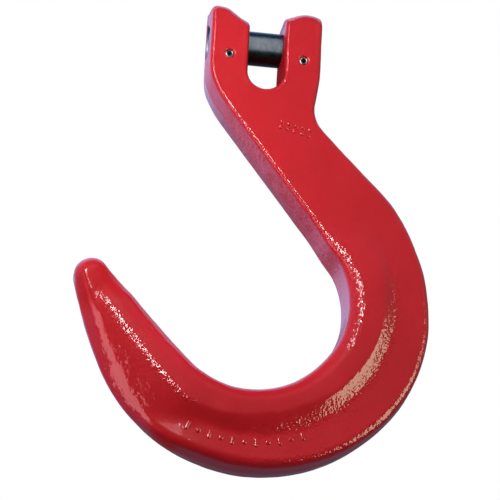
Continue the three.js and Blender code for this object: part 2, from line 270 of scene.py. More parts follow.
def mark_shells(m):
    """Each mark is a small closed dome sunk a little way into the face."""
    verts, faces = [], []
    for x0, z0, half, wid, turn, high in mark_list():
        a = math.radians(turn)
        ux, uz = math.cos(a), math.sin(a)
        n = 16
        base = []
        for k in range(n):
            t = 2 * math.pi * k / n
            cx, cz = math.cos(t), math.sin(t)
            end = half if cx > 0 else -half
            base.append((end, cx, cz))
        rings = [(1.12, -0.6), (1.0, 0.0), (0.86, 0.55), (0.56, 0.88), (0.22, 1.0)]
        first = len(verts)
        H = float(m.read(m.H, np.array([x0]), np.array([z0]))[0])
        for share, lift in rings:
            for end, cx, cz in base:
                u, v = end + cx * wid * share, cz * wid * share
                x, z = x0 + u * ux - v * uz, z0 + u * uz + v * ux
                h = float(m.read(m.H, np.array([x]), np.array([z]))[0])
                verts.append([x, -(h + lift * high), z])
        for q in range(len(rings) - 1):
            for k in range(n):
                j = (k + 1) % n
                b = first + q * n
                faces.append([b + k, b + j, b + n + j, b + n + k])
        top = first + (len(rings) - 1) * n
        for k in range(0, n // 2 - 1):
            faces.append([top + k, top + k + 1, top + n - 2 - k, top + n - 1 - k])
            faces.append(
                [first + n - 1 - k, first + n - 2 - k, first + k + 1, first + k]
            )
    return np.array(verts), np.array(faces)


class Maps:
    """The shape's 2D maps on a fine grid in X-Z: outline distance, half thickness and
    edge rounding. Between grid points they're read by bilinear interpolation."""

    def __init__(self, step=0.4, pad=4.0):
        poly = outline()
        lo, hi = poly.min(0) - pad, poly.max(0) + pad
        self.X = np.arange(lo[0], hi[0] + step, step)
        self.Z = np.arange(lo[1], hi[1] + step, step)
        self.step = step
        self.d = polygon_distance(poly, self.X, self.Z)
        shape = self.d.shape
        near = self.d < 3.0
        P = np.stack(np.meshgrid(self.X, self.Z, indexing="ij"), -1)[near]
        t, share, w = section_place(P)
        k = np.clip(t.astype(int), 0, len(ROWS) - 2)
        f = (t - k)[:, None]
        row = ROWS[k, 4:] * (1 - f) + ROWS[k + 1, 4:] * f
        hi_, ho, step_at, ramp, ri, di, ro, do = row.T
        u = np.clip(share, -0.1, 1.1) * w
        # round the bottom the step lies further in and slopes more gently
        base = np.exp(-(((t - 236) / 22.0) ** 2))
        ramp = ramp + 3.6 * base
        a = step_at - ramp / 2 - 1.2 * base
        H = hi_ + (ho - hi_) * soft_ramp((u - a) / ramp)
        # along the arm: a ridge, then a slope that steepens towards the limb
        far = np.clip((u - a - 7.0) / np.maximum(w - a - 7.0, 2.0), 0, 1)
        arm = smooth01((t - 258 + 4 * far) / (11.0 + 18.0 * far))
        a_arm = a + 0.35 * arm
        soft = lambda v, s: 0.5 * (v + np.sqrt(v * v + s))
        run = soft(np.minimum(u, w) - a_arm, 3.0)
        slope = hi_ + 0.3 - 0.49 * run - 0.17 * soft(run - 5.5, 5.0)
        H = H + arm * (slope - H)
        # the nose: a dome about the tip's centre, hardly thinner than the arm behind it
        q = P - TIP_C
        along = q @ [math.cos(TIP_A), math.sin(TIP_A)]
        across = q @ [-math.sin(TIP_A), math.cos(TIP_A)]
        hw = TIP_R + 0.16 * np.clip(-along, 0, None)
        nose = 10.3 + 0.055 * np.clip(along + 14, 0, 14)
        nose -= 3.4 * np.clip(np.abs(across) / hw, 0, 1.1) ** 3
        nose -= 0.0625 * np.clip(along, 0, None) ** 2
        tipw = smooth01((t - 306) / 12.0)
        H = H + tipw * (nose - H)
        # the band is a little crowned where it stands above the web, and the web dips
        proud = np.clip((hi_ - ho) / 4.0, 0, 1)
        H -= proud * 0.011 * np.clip(a - 4.0 - u, 0, 8) ** 2
        mix = smooth01((share - 0.35) / 0.3)
        bowl = smooth01((t - 150) / 22.0) * (1 - smooth01((t - 270) / 18.0))
        ro, do = ro * (1 - 0.34 * bowl), do * (1 - 0.34 * bowl)
        r = ri + (ro - ri) * mix
        D = di + (do - di) * mix
        H = np.maximum(H, 3.4)
        D = np.minimum(D, 0.86 * H)
        # the ears' tops are rounded over much more than their sides
        x, z = P.T
        upward = np.gradient(self.d, step, axis=1)[near]
        top = smooth01((upward - 0.12) / 0.4) * smooth01((z - 1.5) / 4.0)
        shoulder = smooth01((14.5 - x) / 4.0) * (x > 0)
        r, D = r + (1.0 + 0.8 * shoulder) * top, D + (1.9 + 1.2 * shoulder) * top
        self.flat = np.zeros(shape)
        self.flat[near] = 0.85 * top
        # the lean of the sides, not where the slot or the ears' tops are cut
        lean = DRAFT * smooth01((z + 104) / 44.0)
        cut = smooth01((np.abs(x) - 12.5) / 4.0)
        lean *= np.where(z > -30, cut, np.minimum(1, cut + smooth01((-z - 30) / 4)))
        lean *= 1 - smooth01((z - 7) / 6.0) * smooth01((25 - np.abs(x)) / 3.5)
        # the slot is forged from both faces and so is narrowest at mid-thickness
        waist = (1 - cut) * smooth01((z + 29) / 4.0) * (1 - smooth01((z - 5) / 5.0))
        lean += SLOT_DRAFT * waist
        # the bowl's outer side leans the other way: its faces are the narrower ones
        outer = smooth01((share - 0.6) / 0.2)
        inset = 1.0 * smooth01((-z - 70) / 30.0) * outer
        inset *= 1 - smooth01((t - 262) / 20.0)
        grow = 0.35 * smooth01((-z - 85) / 30.0) * (1 - smooth01((t - 255) / 12.0))
        grow += 0.9 * smooth01((t - 255) / 12.0) * (1 - smooth01((t - 306) / 12.0))
        self.grow = np.zeros(shape)
        self.grow[near] = grow * outer + (0.55 + 0.6 * shoulder) * top
        # where the forging scale shows through the enamel: edges, step, ridge, throat
        bump = lambda v, c, s: np.exp(-(((v - c) / s) ** 2))
        skin = 1.7 * arm * bump(u, a_arm + 0.4, 1.7) * (1 - tipw)
        right = smooth01((t - 160) / 12.0) * (1 - smooth01((t - 236) / 14.0))
        skin += right * 1.7 * bump(u, a + 0.85 * ramp, 3.2)
        skin += right * 1.1 * bump(w - u, 2.2, 2.2)
        skin += 1.8 * smooth01((t - 140) / 12.0) * (1 - smooth01((t - 196) / 10.0)) * bump(u, 4.2, 2.6)
        skin += 1.2 * bump(-self.d[near], 1.2, 1.2) * smooth01((z + 112) / 20.0)
        self.inset = np.zeros(shape)
        self.inset[near] = inset
        self.skin = np.zeros(shape)
        self.skin[near] = skin
        self.H = np.full(shape, SH)
        self.r = np.full(shape, E)
        self.D = np.full(shape, E)
        self.lean = np.zeros(shape)
        self.H[near], self.r[near], self.D[near] = H, r, D
        self.d -= self.grow
        self.lean[near] = lean

    def grids(self):
        return (self.d, self.H, self.r, self.D, self.lean, self.inset, self.flat)

    def read(self, grid, x, z):
        fx = np.clip((x - self.X[0]) / self.step, 0, len(self.X) - 1.001)
        fz = np.clip((z - self.Z[0]) / self.step, 0, len(self.Z) - 1.001)
        i, k = fx.astype(int), fz.astype(int)
        fx, fz = fx - i, fz - k
        return (
            grid[i, k] * (1 - fx) * (1 - fz)
            + grid[i + 1, k] * fx * (1 - fz)
            + grid[i, k + 1] * (1 - fx) * fz
            + grid[i + 1, k + 1] * fx * fz
        )


def smax(a, b, k):
    h = np.clip(0.5 + 0.5 * (a - b) / k, 0, 1)
    return b * (1 - h) + a * h + k * h * (1 - h)


def body_field(m, x, y, z, maps=None):
    if maps is None:
        maps = [m.read(g, x, z) for g in m.grids()]
    d, H, r, D, lean, inset, flat = maps
    d = d + inset * np.minimum(np.sqrt(y * y + 1.0) / H, 1)
    out = np.maximum(1 - np.sqrt(y * y + 2.0) / H, 0)
    flash = 0.16 * np.exp(-((y / 0.8) ** 2)) * (lean > 0.02)
    p, q = (d - lean * out - flash) / r + 1, (np.abs(y) - H) / D + 1
    p_, q_ = np.maximum(p, 0), np.maximum(q, 0)
    f = (1 - flat) * np.hypot(p_, q_) + flat * (p_ + q_)
    f += np.minimum(np.maximum(p, q), 0)
    f = (f - 1) * np.minimum(r, D)
    f = smax(f, BORE_R - np.hypot(y, z), 0.9)
    for side in (-1, 1):
        f = smax(
            f, ROLL_BORE_R - np.hypot(x - side * ROLL_X, z - ROLL_Z), 0.45
        )
    return f


def surface_net(xs, ys, zs, F):
    """Vertices and quads of the zero surface of F on a rectilinear grid."""
    s = F < 0
    c = [
        s[i : s.shape[0] - 1 + i, j : s.shape[1] - 1 + j, k : s.shape[2] - 1 + k]
        for i in (0, 1)
        for j in (0, 1)
        for k in (0, 1)
    ]
    any_, all_ = c[0].copy(), c[0].copy()
    for q in c[1:]:
        any_ |= q
        all_ &= q
    active = any_ & ~all_
    I = np.argwhere(active)
    number = np.full(active.shape, -1, np.int64)
    number[active] = np.arange(len(I))
    acc = np.zeros((len(I), 3))
    cnt = np.zeros(len(I))
    axes = (xs, ys, zs)
    corner = [(i, j, k) for i in (0, 1) for j in (0, 1) for k in (0, 1)]
    for a in corner:
        for ax in range(3):
            if a[ax]:
                continue
            b = list(a)
            b[ax] = 1
            ia, ib = I + a, I + b
            fa, fb = F[tuple(ia.T)], F[tuple(ib.T)]
            cross = (fa < 0) != (fb < 0)
            t = np.where(cross, fa / np.where(cross, fa - fb, 1), 0)
            pa = np.stack([axes[q][ia[:, q]] for q in range(3)], -1)
            pb = np.stack([axes[q][ib[:, q]] for q in range(3)], -1)
            acc += np.where(cross[:, None], pa + (pb - pa) * t[:, None], 0)
            cnt += cross
    verts = acc / cnt[:, None]
    quads = []
    for ax in range(3):
        u, v = [q for q in range(3) if q != ax]
        lo = [slice(None)] * 3
        hi = [slice(None)] * 3
        lo[ax], hi[ax] = slice(0, -1), slice(1, None)
        change = s[tuple(lo)] != s[tuple(hi)]
        E_ = np.argwhere(change)
        ok = (E_[:, u] > 0) & (E_[:, v] > 0)
        ok &= (E_[:, u] < F.shape[u] - 1) & (E_[:, v] < F.shape[v] - 1)
        E_ = E_[ok]
        inside = s[tuple(lo)][tuple(E_.T)]
        q = []
        for du, dv in ((-1, -1), (0, -1), (0, 0), (-1, 0)):
            c_ = E_.copy()
            c_[:, u] += du
            c_[:, v] += dv
            q.append(number[tuple(c_.T)])
        q = np.stack(q, -1)
        flip = inside if ax != 1 else ~inside
        q = np.where(flip[:, None], q, q[:, ::-1])
        quads.append(q)
    return verts, np.vstack(quads)


def graded(lo, hi, parts):
    """Grid lines from lo to hi; parts is [(from, to, spacing)] inside, the first that
    holds a place sets the spacing, the last is the default."""
    out, x = [lo], lo
    while x < hi:
        h = parts[-1][2]
        for a, b, s in parts[:-1]:
            if a <= x < b:
                h = s
                break
        x += h
        out.append(x)
    return np.array(out)


def value_noise(P, scale, seed):
    """Smooth noise, about -1 to 1, from a lattice of seeded values."""
    rng = np.random.default_rng(seed)
    table = rng.uniform(-1, 1, 4096)
    q = P / scale + 1000.0
    i = np.floor(q).astype(np.int64)
    f = q - i
    f = f * f * f * (f * (f * 6 - 15) + 10)
    out = 0
    for a in (0, 1):
        for b in (0, 1):
            for c in (0, 1):
                h = (
                    (i[:, 0] + a) * 73856093
                    ^ (i[:, 1] + b) * 19349663
                    ^ (i[:, 2] + c) * 83492791
                ) & 4095
                w = (
                    (f[:, 0] if a else 1 - f[:, 0])
                    * (f[:, 1] if b else 1 - f[:, 1])
                    * (f[:, 2] if c else 1 - f[:, 2])
                )
                out = out + table[h] * w
    return out


def mesh_object(name, verts_mm, faces, smooth=True):
    """A mesh from arrays in mm about the load pin, placed in the row frame in metres."""
    co = (np.asarray(verts_mm, float) + [0, 0, PIN_Z]) * 0.001
    me = bpy.data.meshes.new(name)
    faces = np.asarray(faces)
    me.vertices.add(len(co))
    me.vertices.foreach_set("co", co.astype(np.float32).ravel())
    n = faces.shape[1]
    me.loops.add(faces.size)
    me.loops.foreach_set("vertex_index", faces.astype(np.int32).ravel())
    me.polygons.add(len(faces))
    me.polygons.foreach_set(
        "loop_start", (np.arange(len(faces)) * n).astype(np.int32)
    )
    me.update(calc_edges=True)
    me.validate()
    if smooth:
        me.polygons.foreach_set("use_smooth", np.ones(len(me.polygons), bool))
    ob = bpy.data.objects.new(name, me)
    bpy.context.scene.collection.objects.link(ob)
    return ob


def make_body():
    m = Maps()
    q = 1.0
    xs = graded(-84, 84, [(-28.6, 28.2, 0.63 * q), (0, 0, 0.94 * q)])
    ys = np.arange(-19.2, 19.3, 0.82 * q)
    ys = ys - (ys[0] + ys[-1]) / 2 + 0.013
    zs = graded(-207, 19.5, [(-28, 19.5, 0.63 * q), (0, 0, 0.94 * q)])
    X, Z = np.meshgrid(xs, zs, indexing="ij")
    x, z = X.ravel(), Z.ravel()
    maps = [m.read(g, x, z) for g in m.grids()]
    F = np.empty((len(xs), len(ys), len(zs)), np.float64)
    for j, y in enumerate(ys):
        F[:, j] = body_field(m, x, np.full_like(x, y), z, maps).reshape(X.shape)
    v, quads = surface_net(xs, ys, zs, F)
    v0 = v.copy()
    for _ in range(4):  # bring each vertex on to the exact surface
        f = body_field(m, *v.T)
        e = 0.06
        g = np.stack(
            [
                body_field(m, *(v + np.eye(3)[a] * e).T)
                - body_field(m, *(v - np.eye(3)[a] * e).T)
                for a in range(3)
            ],
            -1,
        ) / (2 * e)
        n2 = np.maximum((g**2).sum(1), 0.15)
        step = -(f / n2)[:, None] * g
        length = np.linalg.norm(step, axis=1, keepdims=True)
        step *= np.minimum(1, 0.35 / np.maximum(length, 1e-9))
        v = v + step
    normal = g / np.maximum(np.linalg.norm(g, axis=1, keepdims=True), 1e-9)
    # the forged skin: slow waves, and finer scale pits away from the machined bores
    quiet = np.clip((np.hypot(v[:, 1], v[:, 2]) - BORE_R - 0.6) / 2.0, 0, 1)
    for side in (-1, 1):
        quiet *= np.clip(
            (np.hypot(v[:, 0] - side * ROLL_X, v[:, 2] - ROLL_Z) - 2.6) / 1.5, 0, 1
        )
    slow = value_noise(v, 9.0, 3) * 0.07 + value_noise(v, 4.2, 5) * 0.045
    slow += value_noise(v, 2.4, 9) * 0.028
    v = v + normal * (slow * quiet)[:, None]
    skin = m.read(m.skin, v[:, 0], v[:, 2]) * (v[:, 1] < 6) * quiet
    mv, mf = mark_shells(m)
    quads = np.vstack([quads, mf + len(v)])
    v = np.vstack([v, mv])
    ob = mesh_object("hook_forging", v, quads)
    layer = ob.data.attributes.new("skin", "FLOAT", "POINT")
    layer.data.foreach_set("value", np.append(skin, np.zeros(len(mv))).astype(np.float32))
    print("hook_forging", len(v), "vertices", len(quads), "quads")
    return ob


# ------------------------------------------------------------------ pins
def lathe_x(profile, segments):
    """A closed turned solid about X from [(x, radius)], first and last on the axis."""
    a = np.linspace(0, 2 * math.pi, segments, endpoint=False)
    verts, faces = [], []
    ring = []
    for x, r in profile:
        if r < 1e-6:
            ring.append([len(verts)])
            verts.append([x, 0, 0])
        else:
            ring.append(list(range(len(verts), len(verts) + segments)))
            verts += [[x, r * math.sin(t), r * math.cos(t)] for t in a]
    for A, B in zip(ring, ring[1:]):
        for i in range(segments):
            j = (i + 1) % segments
            if len(A) == 1:
                faces.append([A[0], B[i], B[j]])
            elif len(B) == 1:
                faces.append([A[i], B[0], A[j]])
            else:
                faces.append([A[i], B[i], B[j], A[j]])
    return verts, faces


def from_pydata(name, verts, faces):
    me = bpy.data.meshes.new(name)
    me.from_pydata(
        [(x * 0.001, y * 0.001, (z + PIN_Z) * 0.001) for x, y, z in verts], [], faces
    )
    bm = bmesh.new()
    bm.from_mesh(me)
    bmesh.ops.recalc_face_normals(bm, faces=bm.faces)
    bm.to_mesh(me)
    bm.free()
    me.polygons.foreach_set("use_smooth", np.ones(len(me.polygons), bool))
    ob = bpy.data.objects.new(name, me)
    bpy.context.scene.collection.objects.link(ob)
    return ob


def arc(cx, cr, rad, a0, a1, n):
    """Points (x, r) on an arc, angles in degrees from +x towards +r."""
    return [
        (
            cx + rad * math.cos(math.radians(a0 + (a1 - a0) * k / n)),
            cr + rad * math.sin(math.radians(a0 + (a1 - a0) * k / n)),
        )
        for k in range(n + 1)
    ]


def make_load_pin():
    L, R = PIN_L, PIN_R
    gr, reach = 2.25, -ROLL_Z
    half = math.degrees(math.acos((reach - R) / gr))  # half angle of the groove
    right = []
    groove = arc(ROLL_X, reach, gr, -90 - half, -90 + half, 16)
    lip = 0.12
    right += [(groove[0][0] - 2 * lip, R), (groove[0][0] - lip, R - 0.02)]
    right += [(x, r - 0.03) for x, r in groove[1:-1]]
    right += [(groove[-1][0] + lip, R - 0.02), (groove[-1][0] + 2 * lip, R)]
    # turned end: a soft chamfer, a faced end with a shallow centre drill
    right += [(L - 1.45, R), (L - 1.3, R - 0.03)]
    right += [(L - 0.9, R - 0.35), (L - 0.35, R - 0.92)]
    right += [(L - 0.08, R - 1.22), (L, R - 1.42)]
    right += [(L, R - 1.6), (L - 0.02, R - 3.0), (L - 0.03, 2.3), (L - 0.05, 1.75)]
    right += [(L - 0.25, 1.5), (L - 0.7, 1.05), (L - 1.1, 0.62), (L - 1.75, 0.5)]
    right += [(L - 2.0, 0.0)]
    mid = [(x, R) for x in (0.0, 3.0, 6.0, 9.0, 12.0)]
    full = [(-x, r) for x, r in (mid[1:] + right)][::-1] + mid + right
    verts, faces = lathe_x(full, 96)
    ob = from_pydata("load_pin_turned", verts, faces)
    return ob


def make_roll_pin(name, side):
    """A rolled tube with a slit, chamfered at both ends."""
    r_out, wall, slit = ROLL_R, 0.75, 0.8
    n = 44
    a_slit = math.asin(slit / 2 / r_out)
    sweep = 2 * math.pi - 2 * a_slit
    start = math.radians({-1: 128.0, 1: 62.0}[side])
    # one wall section at each angle: outer and inner surface, chamfered at the ends
    L, c = 13.4, 0.7
    ring = (
        [(-L, -0.62), (-L + 0.12, -0.38), (-L + c, -0.05), (-L + c + 0.5, 0.0)]
        + [(x, 0.0) for x in (-8.0, -3.0, 3.0, 8.0)]
        + [(L - c - 0.5, 0.0), (L - c, -0.05), (L - 0.12, -0.38), (L, -0.62)]
    )
    outer = [(y, r_out + q * 0.55) for y, q in ring]
    inner = [(y, r_out - wall) for y, q in ring][::-1]
    inner[0] = (L, r_out - wall + 0.06)
    inner[-1] = (-L, r_out - wall + 0.06)
    section = outer + inner
    m = len(section)
    verts, faces = [], []
    for k in range(n + 1):
        t = start + a_slit + sweep * k / n
        # the lips of the slit turn in slightly
        lip = 0.05 * (abs(2 * k / n - 1) ** 10)
        for y, r in section:
            rr = r - lip
            verts.append(
                [
                    side * ROLL_X + rr * math.cos(t),
                    y,
                    ROLL_Z + rr * math.sin(t),
                ]
            )
    for k in range(n):
        for i in range(m):
            j = (i + 1) % m
            a, b = k * m + i, k * m + j
            faces.append([a, b, b + m, a + m])
    half = m // 2
    for base in (0, n * m):
        for i in range(half - 1):
            faces.append(
                [base + i, base + i + 1, base + m - 2 - i, base + m - 1 - i]
            )
    return from_pydata(name, verts, faces)


# ------------------------------------------------------------------ materials
def node_tree(name):
    mat = bpy.data.materials.new(name)
    mat.use_nodes = True
    nt = mat.node_tree
    nt.nodes.clear()
    return mat, nt


class Build:
    """Small helpers to write node trees in one line each."""

    def __init__(self, nt):
        self.nt = nt

    def node(self, kind, **inputs):
        n = self.nt.nodes.new(kind)
        for key, value in inputs.items():
            if hasattr(n, key) and key not in n.inputs:
                setattr(n, key, value)
        return n

    def link(self, a, b):
        self.nt.links.new(a, b)

    def set(self, n, **values):
        for key, value in values.items():
            s = n.inputs[key.replace("_", " ")]
            if isinstance(value, bpy.types.NodeSocket):
                self.link(value, s)
            else:
                s.default_value = value
        return n

    def noise(self, vec, scale, detail=2.0, rough=0.5, distortion=0.0):
        n = self.node("ShaderNodeTexNoise")
        self.set(
            n, Vector=vec, Scale=scale, Detail=detail, Roughness=rough,
            Distortion=distortion,
        )  # fmt: skip
        return n.outputs["Fac"]

    def voronoi(self, vec, scale, feature="F1", rand=1.0):
        n = self.node("ShaderNodeTexVoronoi")
        n.feature = feature
        self.set(n, Vector=vec, Scale=scale, Randomness=rand)
        return n.outputs["Distance"]

    def math(self, op, a, b=None, c=None, clamp=False):
        n = self.node("ShaderNodeMath")
        n.operation = op
        n.use_clamp = clamp
        for s, v in zip(n.inputs, (a, b, c)):
            if v is None:
                continue
            if isinstance(v, bpy.types.NodeSocket):
                self.link(v, s)
            else:
                s.default_value = v
        return n.outputs[0]

    def remap(self, v, a, b, c=0.0, d=1.0, kind="SMOOTHSTEP"):
        n = self.node("ShaderNodeMapRange")
        n.interpolation_type = kind
        for s, x in zip(n.inputs, (v, a, b, c, d)):
            if isinstance(x, bpy.types.NodeSocket):
                self.link(x, s)
            else:
                s.default_value = x
        return n.outputs[0]

    def mix(self, f, a, b):
        n = self.node("ShaderNodeMix")
        n.data_type = "RGBA"
        for s, x in ((n.inputs[0], f), (n.inputs[6], a), (n.inputs[7], b)):
            if isinstance(x, bpy.types.NodeSocket):
                self.link(x, s)
            else:
                s.default_value = x if not isinstance(x, tuple) else (*x, 1.0)
        return n.outputs[2]

    def bump(self, height, strength, distance, normal=None):
        n = self.node("ShaderNodeBump")
        self.set(n, Height=height, Strength=strength, Distance=distance)
        if normal is not None:
            self.link(normal, n.inputs["Normal"])
        return n.outputs["Normal"]


def red_enamel():
    mat, nt = node_tree("red_enamel")
    b = Build(nt)
    co = b.node("ShaderNodeTexCoord").outputs["Object"]
    geo = b.node("ShaderNodeNewGeometry")
    out = b.node("ShaderNodeOutputMaterial")
    p = b.node("ShaderNodeBsdfPrincipled")
    b.link(p.outputs[0], out.inputs[0])
    # the enamel over a forged skin: orange peel, slow waves and dust nibs
    peel = b.noise(co, 620.0, 1.5, 0.45)
    peel2 = b.noise(co, 1500.0, 1.0, 0.4)
    wave = b.noise(co, 210.0, 1.0, 0.4)
    nib = b.remap(b.voronoi(co, 190.0), 0.0, 0.10, 1.0, 0.0)
    nib_where = b.remap(b.noise(co, 60.0, 2.0, 0.5), 0.60, 0.68)
    nibs = b.math("MULTIPLY", nib, nib_where)
    edge = b.remap(geo.outputs["Pointiness"], 0.50, 0.56)
    at = b.node("ShaderNodeSeparateXYZ")
    b.link(co, at.inputs[0])
    x, y, z = at.outputs
    up = b.math("SUBTRACT", z, PIN_Z * 0.001)
    low = b.math("ADD", up, 0.125)
    bowl = b.math("SQRT", b.math("ADD", b.math("MULTIPLY", x, x), b.math("MULTIPLY", low, low)))
    rough_area = b.remap(b.noise(co, 38.0, 2.0, 0.5), 0.42, 0.62, 0.5, 1.2)
    # the scale left under the enamel on the step, the ridge and the edges
    skin = b.node("ShaderNodeAttribute")
    skin.attribute_name = "skin"
    skin = skin.outputs["Fac"]
    rough_area = b.math("MULTIPLY_ADD", skin, 1.9, rough_area)
    grit = b.math("MULTIPLY", skin, b.remap(b.voronoi(co, 760.0), 0.1, 0.6, 1.0, 0.0))
    h = b.math("MULTIPLY", peel, rough_area)
    h = b.math("MULTIPLY_ADD", peel2, 0.16, h)
    h = b.math("MULTIPLY_ADD", wave, 0.7, h)
    h = b.math("MULTIPLY_ADD", nibs, 1.3, h)
    h = b.math("MULTIPLY_ADD", grit, 0.7, h)
    normal = b.bump(h, 0.62, 0.00018)
    # colour: slightly darker where the film is thinner on edges, and painted shade in the low, hollow
    # places
    tone = b.noise(co, 24.0, 4.0, 0.6)
    deep = (0.60, 0.0105, 0.0165)
    lit = (0.68, 0.0130, 0.0215)
    col = b.mix(b.remap(tone, 0.3, 0.7), deep, lit)
    # painted shade: concave, low places are darkened towards a deep red
    low = b.remap(geo.outputs["Pointiness"], 0.44, 0.49, 1.0, 0.0)
    col = b.mix(b.math("MULTIPLY", low, 0.55), col, (0.16, 0.006, 0.009))
    worn = b.math("MULTIPLY", edge, b.remap(b.noise(co, 300.0, 3.0, 0.6), 0.45, 0.7))
    col = b.mix(b.math("MULTIPLY", worn, 0.22), col, (0.66, 0.05, 0.06))
    dust = b.remap(b.noise(co, 900.0, 2.0, 0.6), 0.66, 0.74)
    col = b.mix(b.math("MULTIPLY", dust, 0.18), col, (0.30, 0.012, 0.014))
    rough = b.remap(b.noise(co, 90.0, 3.0, 0.5), 0.3, 0.7, 0.34, 0.46)
    # machined places: bare dark metal in the load pin's bore; on the lower walls of the slot a thinner
    # satin coat, with painted shade darkening the red there
    far = b.math("SQRT", b.math("ADD", b.math("MULTIPLY", y, y), b.math("MULTIPLY", up, up)))
    bore = b.remap(far, 0.00845, 0.00862, 1.0, 0.0)
    round_ = b.math("MINIMUM", b.math("SUBTRACT", up, (SLOT_Z + SLOT) * 0.001), 0.0)
    wide = b.math("SQRT", b.math("ADD", b.math("MULTIPLY", x, x), b.math("MULTIPLY", round_, round_)))
    slot = b.remap(wide, 0.0089, 0.0094, 1.0, 0.0)
    thin_coat_and_shade = b.math("MULTIPLY", slot, b.remap(up, -0.003, 0.006, 1.0, 0.0))
    # painted shade: the red of the lower slot walls is darkened, on top of their thinner coat
    col = b.mix(b.math("MULTIPLY", thin_coat_and_shade, 0.8), col, (0.30, 0.012, 0.018))
    col = b.mix(bore, col, (0.24, 0.28, 0.36))
    weight = b.math("SUBTRACT", 1.0, b.math("MULTIPLY", thin_coat_and_shade, 0.97), clamp=True)
    weight = b.math("SUBTRACT", weight, bore, clamp=True)
    # a worn, duller patch behind the nose
    ax_, az_ = math.cos(TIP_A), math.sin(TIP_A)
    back = b.math("MULTIPLY_ADD", x, ax_, -(TIP_C[0] * ax_ + TIP_C[1] * az_) * 0.001)
    back = b.math("MULTIPLY_ADD", up, az_, back)
    nose = b.math("MULTIPLY", b.remap(back, -0.0180, -0.0105), b.remap(back, -0.0005, 0.0025, 1.0, 0.0))
    nose = b.math("MULTIPLY", nose, b.remap(x, -0.054, -0.062))
    weight = b.math("SUBTRACT", weight, b.math("MULTIPLY", nose, 0.85), clamp=True)
    # and another where the arm's slope grows out of the web
    wx, wz = b.math("ADD", x, 0.0346), b.math("ADD", up, 0.1888)
    du = b.math("MULTIPLY_ADD", wz, -0.534 / 0.0082, b.math("MULTIPLY", wx, 0.846 / 0.0082))
    dv = b.math("MULTIPLY_ADD", wz, 0.846 / 0.0045, b.math("MULTIPLY", wx, 0.534 / 0.0045))
    worn_ = b.math("SQRT", b.math("ADD", b.math("MULTIPLY", du, du), b.math("MULTIPLY", dv, dv)))
    worn_ = b.remap(worn_, 0.85, 1.35, 1.0, 0.0)
    weight = b.math("SUBTRACT", weight, b.math("MULTIPLY", worn_, 0.96), clamp=True)
    rough = b.math("MULTIPLY_ADD", bore, 0.12, rough)
    b.set(
        p, Base_Color=col, Roughness=rough, Normal=normal, Metallic=bore,
        Coat_Weight=weight, Coat_IOR=1.5,
    )  # fmt: skip
    b.link(b.math("MULTIPLY_ADD", thin_coat_and_shade, -0.06, 0.06), p.inputs["Specular IOR Level"])
    coat = b.remap(b.noise(co, 120.0, 3.0, 0.55), 0.35, 0.7, 0.05, 0.10)
    b.link(coat, p.inputs["Coat Roughness"])
    b.link(normal, p.inputs["Coat Normal"])
    return mat


def dark_steel():
    mat, nt = node_tree("dark_steel")
    b = Build(nt)
    co = b.node("ShaderNodeTexCoord").outputs["Object"]
    geo = b.node("ShaderNodeNewGeometry")
    out = b.node("ShaderNodeOutputMaterial")
    p = b.node("ShaderNodeBsdfPrincipled")
    b.link(p.outputs[0], out.inputs[0])
    # turning marks run round the pin: noise stretched across X
    mapping = b.node("ShaderNodeMapping")
    b.link(co, mapping.inputs["Vector"])
    mapping.inputs["Scale"].default_value = (1.0, 0.02, 0.02)
    rings = b.noise(mapping.outputs[0], 5200.0, 2.0, 0.55)
    grain = b.noise(co, 2600.0, 2.0, 0.6)
    blotch = b.noise(co, 420.0, 3.0, 0.55)
    stain = b.noise(co, 160.0, 3.0, 0.6)
    h = b.math("MULTIPLY_ADD", rings, 0.8, b.math("MULTIPLY", grain, 0.6))
    normal = b.bump(h, 0.5, 0.00003)
    col = b.mix(b.remap(blotch, 0.3, 0.72), (0.135, 0.15, 0.17), (0.18, 0.195, 0.215))
    col = b.mix(b.remap(stain, 0.60, 0.76, 0.0, 0.35), col, (0.13, 0.11, 0.095))
    edge = b.remap(geo.outputs["Pointiness"], 0.52, 0.6)
    col = b.mix(b.math("MULTIPLY", edge, 0.6), col, (0.34, 0.35, 0.36))
    # painted reflection and shade: teal where the pin faces up, darker where it faces down
    facing = b.node("ShaderNodeSeparateXYZ")
    b.link(geo.outputs["Normal"], facing.inputs[0])
    nz = facing.outputs["Z"]
    col = b.mix(b.remap(nz, -0.40, -0.62), col, (0.05, 0.11, 0.11))
    col = b.mix(b.remap(nz, 0.38, 0.60), col, (0.016, 0.10, 0.13))
    # painted reflection: the pin's end faces are turned a pale blue, as if mirroring a bluish light
    at = b.node("ShaderNodeSeparateXYZ")
    b.link(co, at.inputs[0])
    end = b.remap(b.math("ABSOLUTE", at.outputs["X"]), 0.0252, 0.0256)
    col = b.mix(b.math("MULTIPLY", end, 0.85), col, (0.42, 0.55, 0.62))
    rough = b.remap(blotch, 0.3, 0.7, 0.26, 0.33)
    b.set(p, Base_Color=col, Roughness=rough, Normal=normal, Metallic=1.0)
    p.inputs["Specular IOR Level"].default_value = 0.5
    return mat


def spring_steel():
    mat, nt = node_tree("spring_steel")
    b = Build(nt)
    co = b.node("ShaderNodeTexCoord").outputs["Object"]
    geo = b.node("ShaderNodeNewGeometry")
    out = b.node("ShaderNodeOutputMaterial")
    p = b.node("ShaderNodeBsdfPrincipled")
    b.link(p.outputs[0], out.inputs[0])
    grain = b.noise(co, 3000.0, 2.0, 0.6)
    blotch = b.noise(co, 700.0, 3.0, 0.6)
    normal = b.bump(grain, 0.4, 0.00003)
    col = b.mix(b.remap(blotch, 0.35, 0.7), (0.36, 0.38, 0.40), (0.68, 0.70, 0.72))
    # painted shade: the hollow inside of the pin is darkened
    low = b.remap(geo.outputs["Pointiness"], 0.42, 0.49, 1.0, 0.0)
    col = b.mix(b.math("MULTIPLY", low, 0.7), col, (0.05, 0.05, 0.055))
    rough = b.remap(blotch, 0.3, 0.7, 0.24, 0.4)
    b.set(p, Base_Color=col, Roughness=rough, Normal=normal, Metallic=1.0)
    return mat


